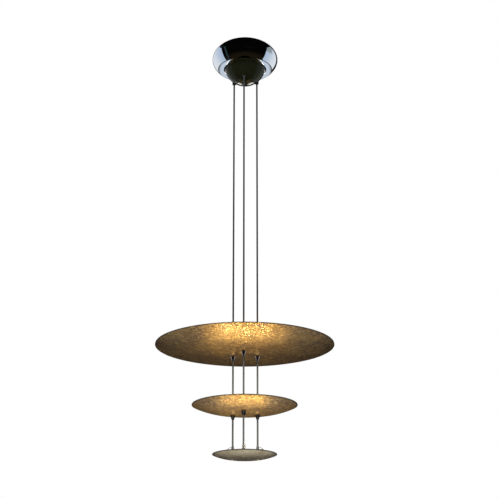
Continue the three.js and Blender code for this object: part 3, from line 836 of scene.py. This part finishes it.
def wallDepth(s, x, y, z):  # how far a direction lies behind the walls' near edge
    look = paleWalls
    steep = s.maths("ABSOLUTE", z - look["bendZ"])
    tips = s.maths("MAXIMUM", steep - look["tip"], 0.0)
    start = y + look["edgeY"] + look["edgeRight"] * s.rise(x, *look["edgeRightFrom"])
    return start - look["bend"] * steep * steep - look["tipBend"] * tips * tips


def wallShare(s, x, y, z, turn, depth):  # 1 where a wall is seen
    look = paleWalls
    top = z - look["topClimb"] * s.maths("ABSOLUTE", x)
    walls = s.rise(depth, *look["edge"]) * s.rise(z, *look["foot"]) * s.fall(top, *look["top"])
    aheadY, aheadZ = look["aheadWay"]  # nearly the way the viewer looks
    ahead = aheadY * y + aheadZ * z + look["aheadRight"] * s.rise(x, *look["aheadRightFrom"])
    return walls * s.fall(ahead, *look["ahead"]) * s.rise(turn, *look["back"])


def wallColour(s, x, z, depth):  # paler with depth, with a grey patch high on the right
    look = paleWalls
    pale = s.blend(s.rise(depth, *look["depth"]), look["near"], look["far"])
    grey = s.rise(x, *look["greyRight"]) * s.rise(z, *look["greyHeights"])
    return s.blend(grey * s.fall(depth, *look["greyDepth"]), pale, look["grey"])


def paintCanopyRoom(s, x, y, z):
    look = canopyRoom
    turn = turnFromBack(s, x, y)
    warm = s.band(turn, *look["warmTurns"]) * s.band(z, *look["warmHeights"])
    step = s.fall(turn, *look["stepTurns"]) * s.band(z, *look["stepHeights"])
    belowY, belowZ = look["belowWay"]
    below = s.rise(-belowY * y - belowZ * z, *look["below"])
    colour = s.blend(s.rise(z, *look["heights"]), look["low"], look["high"])
    colour = s.blend(below, colour, look["belowColour"])
    depth = wallDepth(s, x, y, z)
    stripe = s.band(depth, *look["stripe"]) * s.fall(x, *look["stripeLeft"])
    colour = s.blend(stripe, colour, look["stripeColour"])
    colour = s.blend(warm, colour, look["warm"])
    colour = s.blend(wallShare(s, x, y, z, turn, depth), colour, wallColour(s, x, z, depth))
    return s.blend(step, colour, look["step"])


def paintFarRoom(s, x, y, z):
    look = farRoom
    turn = turnFromBack(s, x, y)
    walls = s.band(turn, *look["wallTurns"]) * s.band(z, *look["wallHeights"])
    front = s.rise(turn, *look["frontTurns"]) * s.band(z, *look["frontHeights"])
    colour = s.blend(s.rise(z, *look["heights"]), look["low"], look["high"])
    colour = s.blend(front, colour, look["front"])
    return s.blend(walls, colour, look["wall"])


def makeRoom(name, look, paint, onlyFor=()):  # a sphere that is clear from outside
    centre = (0, 0, look["z"])
    turns, rings = stage["roomTurns"], stage["roomRings"]
    bm = bmesh.new()
    bmesh.ops.create_uvsphere(bm, u_segments=turns, v_segments=rings, radius=look["radius"])
    bmesh.ops.reverse_faces(bm, faces=bm.faces)
    material, s = newMaterial(name + "Light")
    position = s.node("ShaderNodeNewGeometry", out="Position")
    offset = s.node("ShaderNodeVectorMath", {"operation": "SUBTRACT"}, {0: position, 1: centre})
    way = s.node("ShaderNodeVectorMath", {"operation": "NORMALIZE"}, {0: offset})
    x, y, z = s.split(way)
    light = s.node("ShaderNodeEmission", {}, {"Color": paint(s, x, y, z), "Strength": 1.0})
    if onlyFor:  # added to what lies beyond, and shown to these pieces alone
        light = s.node("ShaderNodeAddShader", {}, {0: light, 1: s.node("ShaderNodeBsdfTransparent")})
    s.oneSided(light)
    room = meshPiece(name, bm, material, keepNormals=True)
    room.location = centre
    room.visible_camera = False
    room.visible_diffuse = False
    room.visible_transmission = False
    room.visible_shadow = False
    if onlyFor:
        linked = bpy.data.collections.new(name + "Pieces")
        for piece in onlyFor:
            linked.objects.link(bpy.data.objects[piece])
        room.light_linking.receiver_collection = linked


makeFloor()
makeRoom("canopyRoom", canopyRoom, paintCanopyRoom)
makeRoom("crescents", crescents, paintCrescents, onlyFor=("canopy_bowl_shell",))
makeRoom("farRoom", farRoom, paintFarRoom)
makeWorld()
for name, look in softLamps.items():
    makeSoftLamp(name, look)
print("stage made")
